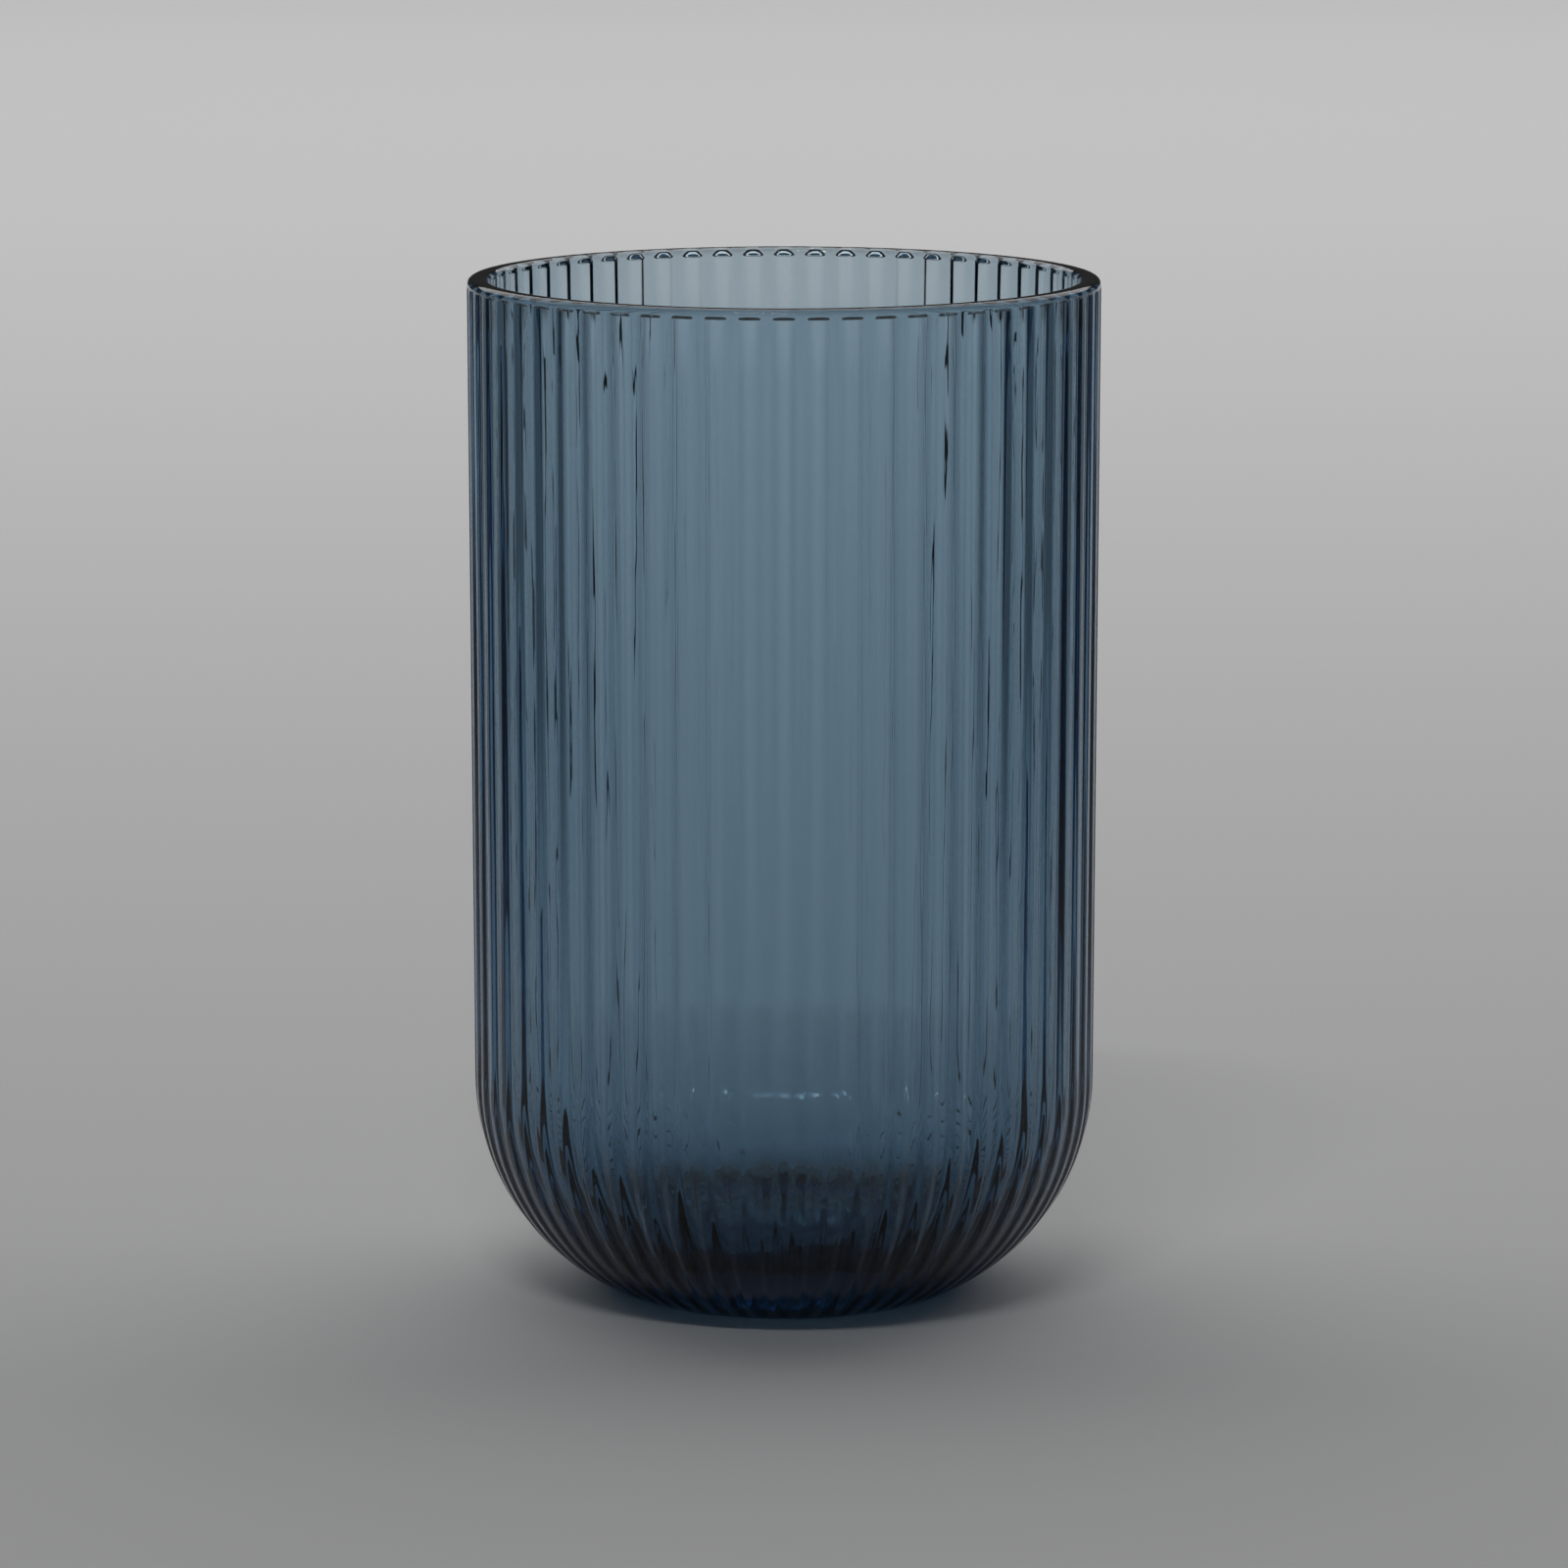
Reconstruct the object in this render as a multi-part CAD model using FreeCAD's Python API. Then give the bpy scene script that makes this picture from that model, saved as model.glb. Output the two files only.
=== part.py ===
import FreeCAD, Part
import math
import os

from FreeCAD import Vector

# A fluted glass bud vase, pressed in one piece, in millimetres.
# Z is the axis of symmetry and points up. The origin is the centre of the resting plane.
# The outside is a turned envelope with equal grooves sunk into it, so its ribs reach the envelope.
# The inside is plain and turned, as a smooth plunger leaves it.

# Overall size
HEIGHT = 146.0
RIM_RADIUS = 45.0
FOOT_RADIUS = 24.4
HEEL_RADIUS = 33.6
WALL_DRAFT_DEG = 0.19
FOOT_ROUND = 1.6

# Lip
LIP_THICKNESS = 3.1
LIP_ROUND = 0.9
LIP_BAND = 1.0

# Ribs and grooves
RIB_COUNT = 60
GROOVE_DEPTH = 0.46
GROOVE_START = 0.5
GROOVE_FADE = 4.0
# A groove's flank, as shares of the way from a rib's crest to the middle of the groove
FLANK_START = 0.3
FLANK_END = 0.7
FLANK_ROUND = 0.08

# Inside
WALL_THICKENING = 1.0
FLOOR_THICKNESS = 5.5
CAVITY_HEEL_RADIUS = 29.0

# Hollow under the foot
PUNT_RADIUS = 20.0
PUNT_HEIGHT = 1.2

# Spans of the ribbed surface across one rib. With fewer, a rib's ends stray from the lip band's and the
# foot's circles by more than GAP, and the solid doesn't close.
ACROSS = 32

# Spans down a rib: even where its grooves start and fade, and growing from there to the longest
RAMP_SPANS = 6
SPAN_GROWTH = 1.35
LONGEST_SPAN = 4.0

# Steps that settle the height of the heel's centre
HEEL_STEPS = 40

GAP = 1e-5
CLEARANCE = 1.0
HALF_RIGHT_ANGLE = math.radians(45)
DRAFT = math.radians(WALL_DRAFT_DEG)
RIB_ANGLE = 360.0 / RIB_COUNT
# Grooves, not ribs, face +X and the other three axes
FIRST_RIB = RIB_ANGLE / 2
UP = Vector(0, 0, 1)
ORIGIN = Vector(0, 0, 0)


def on_meridian(radius, height):
    return Vector(radius, 0, height)


def on_arc(centre_radius, centre_height, radius, angle):
    """A point of a meridian arc, at an angle measured down from the outward horizontal."""
    return on_meridian(
        centre_radius + radius * math.cos(angle),
        centre_height - radius * math.sin(angle),
    )


def wall_radius(height):
    return RIM_RADIUS - (HEIGHT - height) * math.tan(DRAFT)


def heel_centre():
    """Centre of the heel's arc, which is tangent to the drafted wall and meets Z = 0 at FOOT_RADIUS."""
    height = HEEL_RADIUS
    for _ in range(HEEL_STEPS):
        wall_foot = height - HEEL_RADIUS * math.sin(DRAFT)
        radius = wall_radius(wall_foot) - HEEL_RADIUS * math.cos(DRAFT)
        height = math.sqrt(HEEL_RADIUS**2 - (FOOT_RADIUS - radius) ** 2)
    return radius, height


HEEL_X, HEEL_Z = heel_centre()
HEEL_TOP = HEEL_Z - HEEL_RADIUS * math.sin(DRAFT)
# The foot's rounding touches the heel's arc from inside at this angle, and the resting plane at FOOT_X.
FOOT_ANGLE = math.asin((HEEL_Z - FOOT_ROUND) / (HEEL_RADIUS - FOOT_ROUND))
FOOT_X = HEEL_X + (HEEL_RADIUS - FOOT_ROUND) * math.cos(FOOT_ANGLE)
BAND_FOOT = HEIGHT - LIP_BAND
WALL_RUN = (BAND_FOOT - HEEL_TOP) / math.cos(DRAFT)


def ease(share):
    """A smooth step from 0 to 1."""
    return share * share * (3 - 2 * share)


def bend(share, corner):
    """0 before a corner and share - corner past it, rounded between them."""
    past = share - corner
    if past <= -FLANK_ROUND:
        return 0.0
    if past >= FLANK_ROUND:
        return past
    return (past + FLANK_ROUND) ** 2 / (4 * FLANK_ROUND)


def groove_depth(across):
    """Share of the full depth, across a rib from -1 to 1: level crest, straight flanks, level groove floors."""
    share = abs(across)
    return (bend(share, FLANK_START) - bend(share, FLANK_END)) / (FLANK_END - FLANK_START)


def rib_row(place, outward, depth):
    """Points across one rib at one place on the envelope, sunk along the surface's normal."""
    row = []
    for i in range(ACROSS + 1):
        across = 2 * i / ACROSS - 1
        sunk = depth * groove_depth(across)
        radius = place.x - sunk * math.cos(outward)
        turn = math.radians(RIB_ANGLE / 2 * across)
        row.append(Vector(radius * math.cos(turn), radius * math.sin(turn), place.z + sunk * math.sin(outward)))
    return row


def meridian_place(run):
    """The place on the envelope at a distance down from the lip band, and the angle its normal points down by."""
    if run < WALL_RUN:
        height = BAND_FOOT - run * math.cos(DRAFT)
        return on_meridian(wall_radius(height), height), DRAFT
    angle = DRAFT + (run - WALL_RUN) / HEEL_RADIUS
    return on_arc(HEEL_X, HEEL_Z, HEEL_RADIUS, angle), angle


def end_spans(ramp):
    """Spans in from one end of a rib, where the grooves take a given length to reach full depth."""
    span = ramp / RAMP_SPANS
    spans = [span] * RAMP_SPANS
    while span * SPAN_GROWTH < LONGEST_SPAN:
        span *= SPAN_GROWTH
        spans.append(span)
    return spans


def row_runs(total):
    """Distances of a rib's rows of points from the lip band."""
    first = end_spans(GROOVE_START)
    last = end_spans(GROOVE_FADE)
    between = total - sum(first) - sum(last)
    count = math.ceil(between / LONGEST_SPAN)
    runs = [0.0]
    for span in first + [between / count] * count + last[::-1]:
        runs.append(runs[-1] + span)
    runs[-1] = total
    return runs


def rib_face():
    """The outside of one rib, from the lip band down the wall and round the heel to the foot."""
    total = WALL_RUN + HEEL_RADIUS * (FOOT_ANGLE - DRAFT)
    rows = []
    for run in row_runs(total):
        place, outward = meridian_place(run)
        start = ease(min(1.0, run / GROOVE_START))
        fade = ease(min(1.0, (total - run) / GROOVE_FADE))
        depth = GROOVE_DEPTH * place.x / RIM_RADIUS * start * fade
        rows.append(rib_row(place, outward, depth))
    surface = Part.BSplineSurface()
    surface.interpolate(rows)
    return surface.toShape()


def lip_edges():
    """The plain band above the grooves and the round of the lip's outer edge."""
    round_foot = HEIGHT - LIP_ROUND
    band_foot = on_meridian(wall_radius(BAND_FOOT), BAND_FOOT)
    band_top = on_meridian(wall_radius(round_foot), round_foot)
    centre = band_top.x - LIP_ROUND
    middle = on_arc(centre, round_foot, LIP_ROUND, -HALF_RIGHT_ANGLE)
    return [Part.makeLine(band_foot, band_top), Part.Arc(band_top, middle, on_meridian(centre, HEIGHT)).toShape()]


def foot_edge():
    """The round from the heel's arc to the resting plane."""
    angles = (FOOT_ANGLE, (FOOT_ANGLE + math.pi / 2) / 2, math.pi / 2)
    points = [on_arc(FOOT_X, FOOT_ROUND, FOOT_ROUND, angle) for angle in angles]
    return Part.Arc(*points).toShape()


def swept_under_rib(edge):
    """The face that a meridian edge sweeps over the angle of one rib."""
    turned = edge.copy()
    turned.rotate(ORIGIN, UP, -RIB_ANGLE / 2)
    return turned.revolve(ORIGIN, UP, RIB_ANGLE)


def lid(faces, height):
    """The flat face that closes the open edges at a height."""
    rim = []
    for face in faces:
        for edge in face.Edges:
            box = edge.BoundBox
            if abs(box.ZMin - height) < GAP and abs(box.ZMax - height) < GAP:
                rim.append(edge)
    return Part.Face(Part.Wire(Part.__sortEdges__(rim)))


def ribbed_blank():
    """The solid inside the ribbed outside, before its two hollows."""
    strip = [rib_face()] + [swept_under_rib(edge) for edge in lip_edges() + [foot_edge()]]
    faces = []
    for i in range(RIB_COUNT):
        for face in strip:
            turned = face.copy()
            turned.rotate(ORIGIN, UP, FIRST_RIB + i * RIB_ANGLE)
            faces.append(turned)
    skin = faces + [lid(faces, HEIGHT), lid(faces, 0.0)]
    sewn = Part.Compound(skin)
    sewn.sewShape(GAP)
    solid = Part.Solid(sewn.Shells[0])
    if solid.Volume < 0:
        solid.reverse()
    return solid


def turned_solid(edges):
    return Part.Face(Part.Wire(edges)).revolve(ORIGIN, UP, 360)


def cavity():
    """The space inside: a flat floor, a round heel, a drafted wall and the round of the lip's inner edge."""
    heel_top = FLOOR_THICKNESS + CAVITY_HEEL_RADIUS
    wall_foot = on_meridian(wall_radius(heel_top) - LIP_THICKNESS - WALL_THICKENING, heel_top)
    heel_x = wall_foot.x - CAVITY_HEEL_RADIUS
    floor_edge = on_meridian(heel_x, FLOOR_THICKNESS)
    heel_middle = on_arc(heel_x, heel_top, CAVITY_HEEL_RADIUS, HALF_RIGHT_ANGLE)
    round_foot = HEIGHT - LIP_ROUND
    wall_top = on_meridian(RIM_RADIUS - LIP_THICKNESS, round_foot)
    lip_x = wall_top.x + LIP_ROUND
    lip_middle = on_arc(lip_x, round_foot, LIP_ROUND, math.pi + HALF_RIGHT_ANGLE)
    lip_top = on_meridian(lip_x, HEIGHT)
    above_lip = on_meridian(lip_x, HEIGHT + CLEARANCE)
    above_axis = on_meridian(0, HEIGHT + CLEARANCE)
    floor_middle = on_meridian(0, FLOOR_THICKNESS)
    return turned_solid(
        [
            Part.makeLine(floor_middle, floor_edge),
            Part.Arc(floor_edge, heel_middle, wall_foot).toShape(),
            Part.makeLine(wall_foot, wall_top),
            Part.Arc(wall_top, lip_middle, lip_top).toShape(),
            Part.makeLine(lip_top, above_lip),
            Part.makeLine(above_lip, above_axis),
            Part.makeLine(above_axis, floor_middle),
        ]
    )


def punt():
    """The shallow hollow under the foot, which leaves a flat ring to stand on."""
    edge_angle = 2 * math.atan(PUNT_HEIGHT / PUNT_RADIUS)
    dome = PUNT_RADIUS / math.sin(edge_angle)
    middle = on_meridian(dome * math.sin(edge_angle / 2), PUNT_HEIGHT - dome * (1 - math.cos(edge_angle / 2)))
    crown = on_meridian(0, PUNT_HEIGHT)
    edge = on_meridian(PUNT_RADIUS, 0)
    below_edge = on_meridian(PUNT_RADIUS, -CLEARANCE)
    below_axis = on_meridian(0, -CLEARANCE)
    return turned_solid(
        [
            Part.Arc(crown, middle, edge).toShape(),
            Part.makeLine(edge, below_edge),
            Part.makeLine(below_edge, below_axis),
            Part.makeLine(below_axis, crown),
        ]
    )


def glass_body():
    return ribbed_blank().cut([cavity(), punt()]).Solids[0]


os.makedirs("parts", exist_ok=True)
body = glass_body()
body.exportStep("parts/glass_body.step")
size = body.optimalBoundingBox()
print("glass_body: valid", body.isValid(), "faces", len(body.Faces), "cm3", round(body.Volume / 1000, 2))
print("size", round(size.XLength, 3), round(size.YLength, 3), round(size.ZLength, 3), "lowest", round(size.ZMin, 4))
print("heel centre", round(HEEL_X, 3), round(HEEL_Z, 3), "top", round(HEEL_TOP, 3), "flat ring to", round(FOOT_X, 3))
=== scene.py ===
import math

import bpy
import numpy as np
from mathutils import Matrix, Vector, noise


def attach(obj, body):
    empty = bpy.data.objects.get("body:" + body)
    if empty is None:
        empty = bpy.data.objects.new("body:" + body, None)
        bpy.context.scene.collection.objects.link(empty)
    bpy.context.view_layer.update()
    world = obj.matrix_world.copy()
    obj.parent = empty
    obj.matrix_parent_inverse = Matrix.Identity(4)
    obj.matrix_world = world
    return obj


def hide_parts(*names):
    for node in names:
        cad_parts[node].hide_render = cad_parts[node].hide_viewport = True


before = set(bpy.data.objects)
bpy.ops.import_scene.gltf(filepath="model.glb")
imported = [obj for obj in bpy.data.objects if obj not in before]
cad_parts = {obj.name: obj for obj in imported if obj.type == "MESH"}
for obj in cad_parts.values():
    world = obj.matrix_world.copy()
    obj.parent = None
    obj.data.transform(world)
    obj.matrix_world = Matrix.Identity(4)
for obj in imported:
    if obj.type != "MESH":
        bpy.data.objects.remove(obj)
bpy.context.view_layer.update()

# The fluted glass bud vase, in millimetres until its mesh is made in metres.
# Z is its axis and points up. The origin is the centre of the resting plane.

# Shape of the outside
HEIGHT = 146.0
RIM_RADIUS = 45.0
FOOT_RADIUS = 24.4
HEEL_RADIUS = 33.6
DRAFT = math.radians(0.19)
FOOT_ROUND = 1.6
LIP_THICKNESS = 3.1
LIP_ROUND = 0.9
LIP_BAND = 1.0

# Ribs and grooves
RIBS = 60
GROOVE_DEPTH = 0.46
GROOVE_START = 0.5
GROOVE_FADE = 4.0
FLANK_START = 0.3
FLANK_END = 0.7
FLANK_ROUND = 0.08
RIB_TURN = 2 * math.pi / RIBS

# The first rib stands half a rib round, so that a groove faces each axis
FIRST_RIB = RIB_TURN / 2

# Shape of the inside and of the hollow under the foot
WALL_THICKENING = 1.0
FLOOR_THICKNESS = 5.5
CAVITY_HEEL_RADIUS = 29.0
PUNT_RADIUS = 20.0
PUNT_HEIGHT = 1.2

# How far the inside strays, always into the cavity: long streaks down the wall, and blotches low down
STREAK_DEPTH = 0.3
BLOTCH_DEPTH = 0.5

# Mesh divisions: points across a rib, points round the inside and the underside, and rows of each stretch
POINTS_PER_RIB = 16
INNER_POINTS = 320
PUNT_ROWS = 9
FOOT_ROWS = 4
FADE_ROWS = 6
HEEL_ROWS = 22
WALL_ROWS = 14
START_ROWS = 8
LIP_ROWS = 6
CAVITY_WALL_ROWS = 26
CAVITY_HEEL_ROWS = 18

# Rounds that settle the heel's centre
HEEL_STEPS = 40

# Metres in a millimetre
MM = 0.001

# Glass: how fast it takes out red, green and blue light, per metre. The headroom keeps the absorption
# colour above black.
ABSORPTION = (185.0, 120.0, 82.0)
ABSORPTION_HEADROOM = 1.1
GLASS_IOR = 1.52

# Size of the unevenness: streaks as waves per radian and per millimetre down, and blotches as waves per
# millimetre. Streaks build up over a length below the rim, and blotches die out at a height.
STREAKS_ROUND = 17.0
STREAKS_DOWN = 0.012
STREAKS_START = 12.0
BLOTCHES = 0.22
BLOTCH_TOP = 48.0

# Ripple of the surface: waves per metre across, the share of that down the wall, layers of detail,
# and height in metres
RIPPLES_PER_METRE = 450.0
RIPPLE_STRETCH = 0.06
RIPPLE_DETAIL = 2.0
RIPPLE_HEIGHT = 0.000035

# Floor, in metres. Painted shade darkens it to each side from the start to the end, standing in for the
# shade that black cards beside the glass would leave, and its pale part widens behind the vase.
FLOOR_RADIUS = 8.0
FLOOR_POINTS = 128
FLOOR_GAP = 0.0002
FLOOR_SHADE = 0.65
# Grey of the floor's painted shade out at the sides
FLOOR_SIDE_PAINTED_SHADE = 0.26
FLOOR_SIDE_START = 0.14
FLOOR_SIDE_END = 0.5
FLOOR_WIDENING = 0.3

# Lamps, in metres and watts. The overhead one's target is a touch behind it, which settles which way
# its sides run.
OVERHEAD_PLACE = (0.0, 2.2, 1.35)
OVERHEAD_TARGET = (0.0, 2.201, 0.0)
OVERHEAD_SIZE = (5.0, 4.0)
OVERHEAD_POWER = 64.0
KEY_PLACE = (-0.2, -1.1, 1.5)
KEY_TARGET = (0.0, 0.0, 0.07)
KEY_SIZE = (0.6, 0.08)
KEY_POWER = 4.0
ROOM_LIGHT = 0.035

# Camera: lens and sensor in millimetres, place in metres
FOCAL_LENGTH = 165.8
SENSOR_WIDTH = 36.0
CAMERA_DISTANCE = 1.022
CAMERA_HEIGHT = 0.250
CAMERA_DOWN_DEG = 9.83

# How many surfaces light may meet on its way, and how many of those may be reflections
LIGHT_BOUNCES = 24
GLOSSY_BOUNCES = 8


def wall_radius(height):
    return RIM_RADIUS - (HEIGHT - height) * math.tan(DRAFT)


def heel_centre():
    """Centre of the heel's arc, which runs on smoothly from the wall and crosses the floor at the foot."""
    height = HEEL_RADIUS
    for _ in range(HEEL_STEPS):
        radius = wall_radius(height - HEEL_RADIUS * math.sin(DRAFT)) - HEEL_RADIUS * math.cos(DRAFT)
        height = math.sqrt(HEEL_RADIUS**2 - (FOOT_RADIUS - radius) ** 2)
    return radius, height


HEEL_X, HEEL_Z = heel_centre()
HEEL_TOP = HEEL_Z - HEEL_RADIUS * math.sin(DRAFT)
FOOT_ANGLE = math.asin((HEEL_Z - FOOT_ROUND) / (HEEL_RADIUS - FOOT_ROUND))
FOOT_X = HEEL_X + (HEEL_RADIUS - FOOT_ROUND) * math.cos(FOOT_ANGLE)
BAND_FOOT = HEIGHT - LIP_BAND
WALL_RUN = (BAND_FOOT - HEEL_TOP) / math.cos(DRAFT)
TOTAL_RUN = WALL_RUN + HEEL_RADIUS * (FOOT_ANGLE - DRAFT)


def ease(share):
    """From 0 to 1 with a level start and end."""
    share = min(1.0, max(0.0, share))
    return share * share * (3 - 2 * share)


def bend(share, corner):
    """0 up to a corner, then rising one for one, with the corner rounded."""
    past = share - corner
    if past <= -FLANK_ROUND:
        return 0.0
    if past >= FLANK_ROUND:
        return past
    return (past + FLANK_ROUND) ** 2 / (4 * FLANK_ROUND)


def groove_depth(across):
    """Share of the full depth at a place across a rib, from -1 and 1 in the grooves to 0 on the crest."""
    share = abs(across)
    return (bend(share, FLANK_START) - bend(share, FLANK_END)) / (FLANK_END - FLANK_START)


def plain_ring(radius, height, count):
    turns = [2 * math.pi * i / count for i in range(count)]
    return [(radius * math.cos(t), radius * math.sin(t), height) for t in turns]


def ribbed_ring(run):
    """The outside at a distance down from the lip band."""
    if run < WALL_RUN:
        height = BAND_FOOT - run * math.cos(DRAFT)
        radius = wall_radius(height)
        outward = DRAFT
    else:
        outward = DRAFT + (run - WALL_RUN) / HEEL_RADIUS
        radius = HEEL_X + HEEL_RADIUS * math.cos(outward)
        height = HEEL_Z - HEEL_RADIUS * math.sin(outward)
    started = ease(run / GROOVE_START)
    faded = ease((TOTAL_RUN - run) / GROOVE_FADE)
    depth = GROOVE_DEPTH * radius / RIM_RADIUS * started * faded
    ring = []
    for i in range(RIBS * POINTS_PER_RIB):
        across = 2 * (i % POINTS_PER_RIB) / POINTS_PER_RIB - 1
        turn = FIRST_RIB + RIB_TURN * (i // POINTS_PER_RIB + across / 2)
        sunk = depth * groove_depth(across)
        inward = radius - sunk * math.cos(outward)
        ring.append((inward * math.cos(turn), inward * math.sin(turn), height + sunk * math.sin(outward)))
    return ring


def punt_height(radius):
    """Height of the shallow hollow under the foot."""
    edge_angle = 2 * math.atan(PUNT_HEIGHT / PUNT_RADIUS)
    dome = PUNT_RADIUS / math.sin(edge_angle)
    return PUNT_HEIGHT - dome + math.sqrt(dome**2 - radius**2)


def foot_rings():
    """From the centre of the underside out to the foot's rounding, where the grooves end."""
    rings = [[(0.0, 0.0, PUNT_HEIGHT)]]
    for radius in np.linspace(0, PUNT_RADIUS, PUNT_ROWS + 1)[1:]:
        rings.append(plain_ring(radius, punt_height(radius), INNER_POINTS))
    for angle in np.linspace(math.pi / 2, FOOT_ANGLE, FOOT_ROWS + 1):
        radius = FOOT_X + FOOT_ROUND * math.cos(angle)
        rings.append(plain_ring(radius, FOOT_ROUND * (1 - math.sin(angle)), RIBS * POINTS_PER_RIB))
    return rings


def outside_rings():
    """Up the heel and the wall to the lip band, closer where the grooves start and fade."""
    heel_foot = TOTAL_RUN - GROOVE_FADE
    runs = list(np.linspace(TOTAL_RUN, heel_foot, FADE_ROWS + 1)[1:])
    runs += list(np.linspace(heel_foot, WALL_RUN, HEEL_ROWS + 1)[1:])
    runs += list(np.linspace(WALL_RUN, GROOVE_START, WALL_ROWS + 1)[1:])
    runs += list(np.linspace(GROOVE_START, 0.0, START_ROWS + 1)[1:])
    return [ribbed_ring(run) for run in runs]


def lip_rings():
    """Over the lip, from the band outside to the wall inside."""
    round_foot = HEIGHT - LIP_ROUND
    outer = wall_radius(round_foot) - LIP_ROUND
    inner = RIM_RADIUS - LIP_THICKNESS + LIP_ROUND
    rings = []
    for angle in np.linspace(0, math.pi / 2, LIP_ROWS + 1):
        radius = outer + LIP_ROUND * math.cos(angle)
        rings.append(plain_ring(radius, round_foot + LIP_ROUND * math.sin(angle), RIBS * POINTS_PER_RIB))
    for angle in np.linspace(math.pi / 2, 0, LIP_ROWS + 1):
        radius = inner - LIP_ROUND * math.cos(angle)
        rings.append(plain_ring(radius, round_foot + LIP_ROUND * math.sin(angle), INNER_POINTS))
    return rings


def unevenness(x, y, z):
    """How far the inside is raised at a place: streaks that run down the wall, and blotches low down."""
    turn = math.atan2(y, x)
    streak = Vector((math.cos(turn) * STREAKS_ROUND, math.sin(turn) * STREAKS_ROUND, z * STREAKS_DOWN))
    blotch = Vector((x, y, z)) * BLOTCHES
    streak_rise = STREAK_DEPTH * (noise.noise(streak) + 1) / 2 * ease((HEIGHT - z) / STREAKS_START)
    blotch_rise = BLOTCH_DEPTH * (noise.noise(blotch) + 1) / 2 * ease((BLOTCH_TOP - z) / BLOTCH_TOP)
    return streak_rise + blotch_rise


def uneven_ring(radius, height, upward):
    """A ring of the inside, raised into the cavity along its normal, at an angle upward from level."""
    ring = []
    for x, y, z in plain_ring(radius, height, INNER_POINTS):
        raised = unevenness(x, y, z)
        shrink = 1 - raised * math.cos(upward) / radius
        ring.append((x * shrink, y * shrink, z + raised * math.sin(upward)))
    return ring


def cavity_rings():
    """Down the inside wall, round the heel and in to the middle of the floor."""
    round_foot = HEIGHT - LIP_ROUND
    heel_top = FLOOR_THICKNESS + CAVITY_HEEL_RADIUS
    wall_top = RIM_RADIUS - LIP_THICKNESS
    wall_foot = wall_radius(heel_top) - LIP_THICKNESS - WALL_THICKENING
    heel_x = wall_foot - CAVITY_HEEL_RADIUS
    rings = []
    for share in np.linspace(0, 1, CAVITY_WALL_ROWS + 1)[1:]:
        radius = wall_top + (wall_foot - wall_top) * share
        rings.append(uneven_ring(radius, round_foot + (heel_top - round_foot) * share, 0.0))
    for angle in np.linspace(0, math.pi / 2, CAVITY_HEEL_ROWS + 1)[1:]:
        radius = heel_x + CAVITY_HEEL_RADIUS * math.cos(angle)
        rings.append(uneven_ring(radius, heel_top - CAVITY_HEEL_RADIUS * math.sin(angle), angle))
    rings.append(uneven_ring(heel_x / 2, FLOOR_THICKNESS, math.pi / 2))
    rings.append([(0.0, 0.0, FLOOR_THICKNESS)])
    return rings


def stitch(near, near_count, far, far_count):
    """The faces between two rings, where one has a whole number of points for each point of the other."""
    if near_count == 1:
        return [(near, far + (i + 1) % far_count, far + i) for i in range(far_count)]
    if far_count == 1:
        return [(near + i, near + (i + 1) % near_count, far) for i in range(near_count)]
    near_step = max(1, near_count // far_count)
    far_step = max(1, far_count // near_count)
    faces = []
    for i in range(min(near_count, far_count)):
        lower = [near + (i * near_step + k) % near_count for k in range(near_step + 1)]
        upper = [far + (i * far_step + k) % far_count for k in range(far_step, -1, -1)]
        faces.append(tuple(lower + upper))
    return faces


def glass_mesh():
    """One closed skin: the underside, the outside, the lip and the cavity in turn."""
    rings = foot_rings() + outside_rings() + lip_rings() + cavity_rings()
    points = []
    starts = []
    for ring in rings:
        starts.append(len(points))
        points += [(x * MM, y * MM, z * MM) for x, y, z in ring]
    faces = []
    for i in range(len(rings) - 1):
        faces += stitch(starts[i], len(rings[i]), starts[i + 1], len(rings[i + 1]))
    mesh = bpy.data.meshes.new("glass_body_visual")
    mesh.from_pydata(points, [], faces)
    mesh.update()
    mesh.shade_smooth()
    return mesh


def glass_material():
    """Clear glass tinted through, with the faint ripple of a pressed and fire-polished surface."""
    material = bpy.data.materials.new("blue_glass")
    material.use_nodes = True
    nodes = material.node_tree.nodes
    links = material.node_tree.links
    surface = nodes["Principled BSDF"]
    surface.inputs["Base Color"].default_value = (1, 1, 1, 1)
    surface.inputs["IOR"].default_value = GLASS_IOR
    surface.inputs["Transmission Weight"].default_value = 1.0
    surface.inputs["Roughness"].default_value = 0.0
    place = nodes.new("ShaderNodeTexCoord")
    stretch = nodes.new("ShaderNodeMapping")
    stretch.inputs["Scale"].default_value = (1, 1, RIPPLE_STRETCH)
    links.new(place.outputs["Object"], stretch.inputs["Vector"])
    ripple = nodes.new("ShaderNodeTexNoise")
    ripple.inputs["Scale"].default_value = RIPPLES_PER_METRE
    ripple.inputs["Detail"].default_value = RIPPLE_DETAIL
    links.new(stretch.outputs["Vector"], ripple.inputs["Vector"])
    bump = nodes.new("ShaderNodeBump")
    bump.inputs["Strength"].default_value = 1.0
    bump.inputs["Distance"].default_value = RIPPLE_HEIGHT
    links.new(ripple.outputs["Fac"], bump.inputs["Height"])
    links.new(bump.outputs["Normal"], surface.inputs["Normal"])
    body = nodes.new("ShaderNodeVolumeAbsorption")
    density = ABSORPTION_HEADROOM * max(ABSORPTION)
    body.inputs["Density"].default_value = density
    body.inputs["Color"].default_value = (*[1 - taken / density for taken in ABSORPTION], 1)
    links.new(body.outputs["Volume"], nodes["Material Output"].inputs["Volume"])
    return material


def link(thing):
    """Puts an object in the scene."""
    bpy.context.collection.objects.link(thing)
    return thing


def vase():
    mesh = glass_mesh()
    mesh.materials.append(glass_material())
    glass = link(bpy.data.objects.new("glass_body_visual", mesh))
    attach(glass, "root")
    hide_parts("glass_body")


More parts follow.
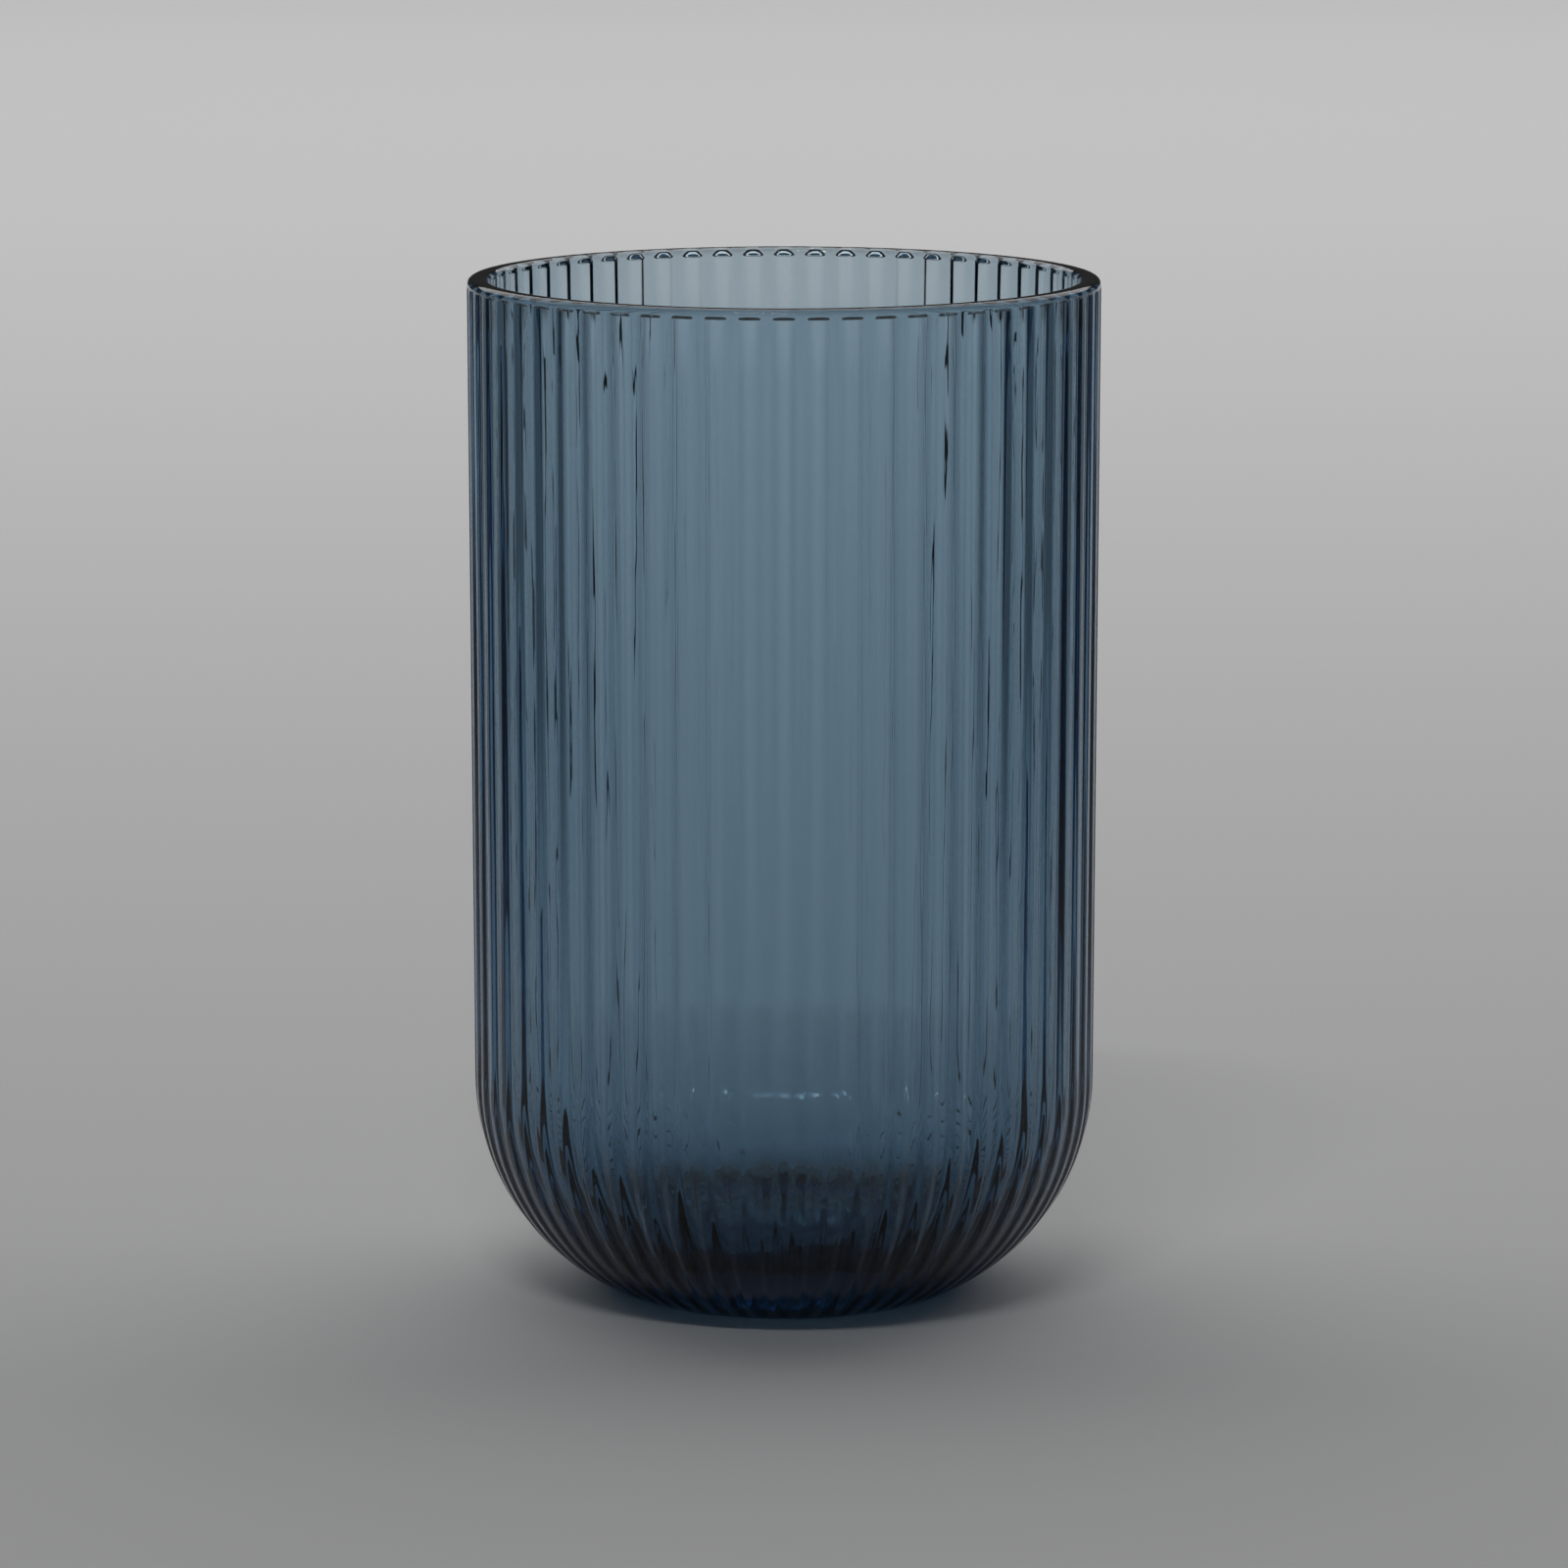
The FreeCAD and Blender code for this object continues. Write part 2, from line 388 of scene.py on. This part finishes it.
def floor_material():
    """Plain pale grey, with painted shade that darkens it out at both sides, as black cards beside the
    glass would leave it.

    The pale part widens behind the vase, so that light bent sideways by the ribs comes from the painted
    dark sides at any height.
    """
    material = bpy.data.materials.new("pale_floor")
    material.use_nodes = True
    nodes = material.node_tree.nodes
    links = material.node_tree.links
    surface = nodes["Principled BSDF"]
    surface.inputs["Roughness"].default_value = 1.0
    surface.inputs["Specular IOR Level"].default_value = 0.0
    place = nodes.new("ShaderNodeTexCoord")
    axes = nodes.new("ShaderNodeSeparateXYZ")
    aside = nodes.new("ShaderNodeMath")
    aside.operation = "ABSOLUTE"
    behind = nodes.new("ShaderNodeMath")
    behind.operation = "MAXIMUM"
    behind.inputs[1].default_value = 0.0
    beyond = nodes.new("ShaderNodeMath")
    beyond.operation = "MULTIPLY_ADD"
    beyond.inputs[1].default_value = -FLOOR_WIDENING
    # Painted shade: the grey darkens out to each side, starting further out behind the vase
    shade = nodes.new("ShaderNodeMapRange")
    shade.interpolation_type = "SMOOTHSTEP"
    shade.inputs["From Min"].default_value = FLOOR_SIDE_START
    shade.inputs["From Max"].default_value = FLOOR_SIDE_END
    shade.inputs["To Min"].default_value = FLOOR_SHADE
    shade.inputs["To Max"].default_value = FLOOR_SIDE_PAINTED_SHADE
    grey = nodes.new("ShaderNodeCombineColor")
    links.new(place.outputs["Object"], axes.inputs["Vector"])
    links.new(axes.outputs["X"], aside.inputs[0])
    links.new(axes.outputs["Y"], behind.inputs[0])
    links.new(behind.outputs["Value"], beyond.inputs[0])
    links.new(aside.outputs["Value"], beyond.inputs[2])
    links.new(beyond.outputs["Value"], shade.inputs["Value"])
    for channel in ("Red", "Green", "Blue"):
        links.new(shade.outputs["Result"], grey.inputs[channel])
    links.new(grey.outputs["Color"], surface.inputs["Base Color"])
    return material


def floor():
    rim = plain_ring(FLOOR_RADIUS, 0, FLOOR_POINTS)
    mesh = bpy.data.meshes.new("floor")
    mesh.from_pydata(rim, [], [tuple(range(FLOOR_POINTS))])
    mesh.materials.append(floor_material())
    plane = link(bpy.data.objects.new("floor", mesh))
    plane.location.z = -FLOOR_GAP


def softbox(name, place, target, size, power):
    """A rectangular lamp that faces a target."""
    lamp = bpy.data.lights.new(name, "AREA")
    lamp.shape = "RECTANGLE"
    lamp.size, lamp.size_y = size
    lamp.energy = power
    holder = link(bpy.data.objects.new(name, lamp))
    holder.location = place
    holder.rotation_euler = (Vector(target) - Vector(place)).to_track_quat("-Z", "Y").to_euler()


def studio():
    softbox("overhead", OVERHEAD_PLACE, OVERHEAD_TARGET, OVERHEAD_SIZE, OVERHEAD_POWER)
    softbox("key", KEY_PLACE, KEY_TARGET, KEY_SIZE, KEY_POWER)
    world = bpy.data.worlds.new("studio")
    world.use_nodes = True
    sky = world.node_tree.nodes["Background"]
    sky.inputs["Color"].default_value = (1, 1, 1, 1)
    sky.inputs["Strength"].default_value = ROOM_LIGHT
    bpy.context.scene.world = world


def camera():
    lens = bpy.data.cameras.new("camera")
    lens.lens = FOCAL_LENGTH
    lens.sensor_width = SENSOR_WIDTH
    holder = link(bpy.data.objects.new("camera", lens))
    holder.location = (0, -CAMERA_DISTANCE, CAMERA_HEIGHT)
    holder.rotation_euler = (math.radians(90 - CAMERA_DOWN_DEG), 0, 0)
    bpy.context.scene.camera = holder


def render_settings():
    scene = bpy.context.scene
    scene.view_settings.view_transform = "Standard"
    scene.cycles.max_bounces = LIGHT_BOUNCES
    scene.cycles.transmission_bounces = LIGHT_BOUNCES
    scene.cycles.glossy_bounces = GLOSSY_BOUNCES


vase()
floor()
studio()
camera()
render_settings()
bpy.context.view_layer.update()
